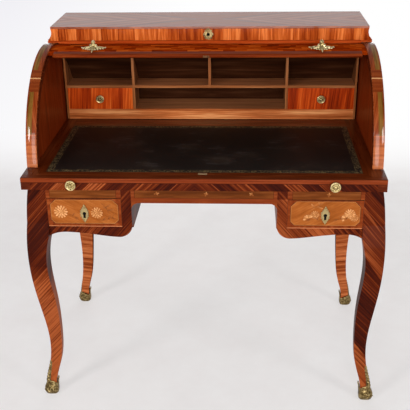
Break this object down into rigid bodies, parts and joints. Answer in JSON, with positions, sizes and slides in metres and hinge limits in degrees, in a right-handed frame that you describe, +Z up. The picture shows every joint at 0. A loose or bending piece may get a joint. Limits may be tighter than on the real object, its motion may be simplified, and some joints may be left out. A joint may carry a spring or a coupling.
{
  "type": "cylinder desk",
  "caption": "Cylinder desk on cabriole legs: a curved cover rolls back over a pull-out leather writing slide, with pigeonholes, small drawers, a knee-hole and drawers in the case.",
  "frame": {"origin": "centre of the overall box, on the floor under the sabots", "axes": "+X to the sitter's right, +Y away from the sitter towards the back, +Z up"},
  "size_m": [1.0186, 0.7092, 1.071],
  "materials": {
    "veneer": "French-polished tulipwood veneer, glossy",
    "marquetry": "French-polished marquetry of tulipwood, kingwood and stained fruitwood, glossy",
    "carcass_wood": "waxed oak and stained poplar, satin",
    "leather": "worn dark hide with gilt tooled border",
    "brass": "cast and chased brass, aged"
  },
  "bodies": {
    "case": {"leg_front_left": "veneer", "leg_front_right": "veneer", "leg_back_left": "veneer", "leg_back_right": "veneer", "sabots": "brass", "lower_side_left": "veneer", "lower_side_right": "veneer", "lower_back": "carcass_wood", "front_rail": "marquetry", "apron_left": "veneer", "apron_right": "veneer", "knee_sides": "carcass_wood", "drawer_bearers": "carcass_wood", "drawer_guides": "carcass_wood", "dust_board": "carcass_wood", "slide_runners": "carcass_wood", "side_panel_left": "veneer", "side_panel_right": "veneer", "rim_left": "marquetry", "rim_right": "marquetry", "cylinder_guide_left": "carcass_wood", "cylinder_guide_right": "carcass_wood", "upper_back": "carcass_wood", "top_floor": "carcass_wood", "top_end_left": "veneer", "top_end_right": "veneer", "top_back": "carcass_wood", "top_board": "veneer", "unit_bearer": "carcass_wood", "unit_sides": "carcass_wood", "unit_back": "carcass_wood", "unit_floor": "carcass_wood", "unit_base_board": "carcass_wood", "unit_shelf": "carcass_wood", "upper_dividers": "carcass_wood", "lower_dividers": "carcass_wood"},
    "cylinder": {"cylinder_shell": "marquetry", "cylinder_nose": "marquetry", "cylinder_handles": "brass", "cylinder_lock": "brass"},
    "writing_slide": {"slide_board": "veneer", "slide_rail": "marquetry", "leather_inset": "leather", "slide_knobs": "brass", "strike_plate": "brass"},
    "drawer_left": {"drawer_left_front": "marquetry", "drawer_left_tray": "carcass_wood", "drawer_left_lock": "brass"},
    "drawer_right": {"drawer_right_front": "marquetry", "drawer_right_tray": "carcass_wood", "drawer_right_lock": "brass"},
    "small_drawer_left": {"small_drawer_left_front": "veneer", "small_drawer_left_tray": "carcass_wood", "small_drawer_left_knob": "brass"},
    "small_drawer_right": {"small_drawer_right_front": "veneer", "small_drawer_right_tray": "carcass_wood", "small_drawer_right_knob": "brass"},
    "frieze_drawer": {"frieze_front": "veneer", "frieze_tray": "carcass_wood", "frieze_lock": "brass"}
  },
  "joints": [
    {"name": "cylinder_roll", "type": "hinge", "parent": "case", "child": "cylinder", "pos_m": [0, 0.0225, 0.745], "axis": [1, 0, 0], "range_deg": [0, 72]},
    {"name": "writing_slide_pull", "type": "slide", "parent": "case", "child": "writing_slide", "axis": [0, -1, 0], "range_m": [-0.07, 0.2]},
    {"name": "drawer_left_pull", "type": "slide", "parent": "case", "child": "drawer_left", "axis": [0, -1, 0], "range_m": [0, 0.35]},
    {"name": "drawer_right_pull", "type": "slide", "parent": "case", "child": "drawer_right", "axis": [0, -1, 0], "range_m": [0, 0.35]},
    {"name": "small_drawer_left_pull", "type": "slide", "parent": "case", "child": "small_drawer_left", "axis": [0, -1, 0], "range_m": [0, 0.06]},
    {"name": "small_drawer_right_pull", "type": "slide", "parent": "case", "child": "small_drawer_right", "axis": [0, -1, 0], "range_m": [0, 0.06]},
    {"name": "frieze_drawer_pull", "type": "slide", "parent": "case", "child": "frieze_drawer", "axis": [0, -1, 0], "range_m": [0, 0.085]}
  ]
}
